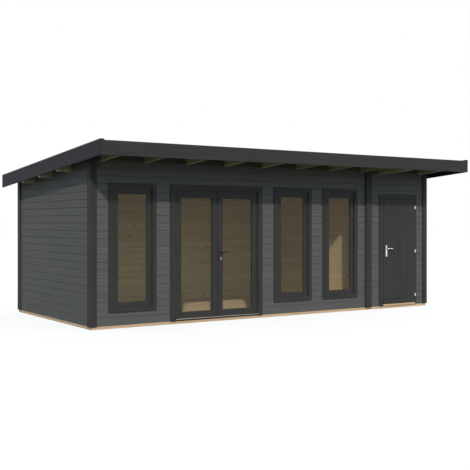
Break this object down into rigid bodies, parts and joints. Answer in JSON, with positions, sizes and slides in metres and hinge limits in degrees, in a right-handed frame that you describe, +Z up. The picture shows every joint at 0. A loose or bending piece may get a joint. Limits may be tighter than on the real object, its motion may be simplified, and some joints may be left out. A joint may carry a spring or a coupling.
{
  "type": "garden shed",
  "caption": "Single-pitch timber garden shed with a glazed double door, tall fixed windows and a boarded side store.",
  "frame": {"origin": "middle of the wall box in plan, on the underside of the base frame's middle joist", "axes": "+X along the front from left to right, +Y from the front to the back, +Z up"},
  "size_m": [7.568, 4.241, 2.8084],
  "materials": {
    "wall_timber": "opaque grey stain on planed boards",
    "trim_timber": "opaque dark grey stain",
    "joinery_timber": "opaque dark grey paint, satin",
    "base_timber": "bare pressure-treated softwood",
    "floor_timber": "bare planed spruce boards",
    "partition_timber": "bare planed spruce boards",
    "roof_timber": "olive tinted treated softwood",
    "deck_timber": "bare planed boards",
    "roof_sheet": "matt black sheet",
    "edge_metal": "powder coated dark grey",
    "sill_metal": "mill finish, brushed",
    "glass": "clear sealed unit",
    "black_iron": "satin black",
    "steel": "satin"
  },
  "bodies": {
    "building": {"base_frame": "base_timber", "main_floor": "floor_timber", "store_floor": "floor_timber", "front_wall_piers": "wall_timber", "front_wall_infills": "wall_timber", "front_wall_head": "wall_timber", "left_wall": "wall_timber", "right_wall": "wall_timber", "back_wall": "wall_timber", "partition_wall": "partition_timber", "corner_trims": "trim_timber", "partition_cover_front": "trim_timber", "partition_cover_back": "trim_timber", "window_frame_left": "joinery_timber", "window_frame_middle": "joinery_timber", "window_frame_right": "joinery_timber", "window_panes": "glass", "double_door_frame": "joinery_timber", "door_sills": "sill_metal", "double_door_hinges_on_frame": "steel", "store_door_frame": "joinery_timber", "store_door_hinges_on_frame": "steel", "front_rafters": "roof_timber", "roof_purlins": "roof_timber", "roof_deck": "deck_timber", "roof_sheet": "roof_sheet", "roof_kerbs": "deck_timber", "fascia_front": "trim_timber", "fascia_back": "trim_timber", "fascia_left": "trim_timber", "fascia_right": "trim_timber", "roof_edge_strips": "edge_metal"},
    "left_leaf": {"double_door_leaf_left": "joinery_timber", "double_door_pane_left": "glass", "double_door_hinges_on_leaf_left": "steel"},
    "right_leaf": {"double_door_leaf_right": "joinery_timber", "double_door_pane_right": "glass", "double_door_hinges_on_leaf_right": "steel", "double_door_handle_plates": "black_iron"},
    "double_door_lever": {"double_door_lever": "black_iron"},
    "store_leaf": {"store_door_leaf": "joinery_timber", "store_door_hinges_on_leaf": "steel", "store_door_handle_plates": "steel"},
    "store_lever": {"store_door_lever": "steel"}
  },
  "joints": [
    {"name": "left_leaf_swing", "type": "hinge", "parent": "building", "child": "left_leaf", "pos_m": [-2.09427, -1.534, 0], "axis": [0, 0, 1], "range_deg": [0, 95]},
    {"name": "right_leaf_swing", "type": "hinge", "parent": "building", "child": "right_leaf", "pos_m": [-0.47327, -1.534, 0], "axis": [0, 0, -1], "range_deg": [0, 95]},
    {"name": "double_door_lever_turn", "type": "hinge", "parent": "right_leaf", "child": "double_door_lever", "pos_m": [-1.22527, -1.563, 1.128], "axis": [0, 1, 0], "range_deg": [0, 40], "stiffness_Nm_per_rad": 1.2, "springref_deg": -20.05},
    {"name": "store_leaf_swing", "type": "hinge", "parent": "building", "child": "store_leaf", "pos_m": [3.2405, -1.615, 0], "axis": [0, 0, 1], "range_deg": [0, 110]},
    {"name": "store_lever_turn", "type": "hinge", "parent": "store_leaf", "child": "store_lever", "pos_m": [2.478, -1.586, 1.128], "axis": [0, 1, 0], "range_deg": [0, 40], "stiffness_Nm_per_rad": 1.2, "springref_deg": -20.05}
  ]
}
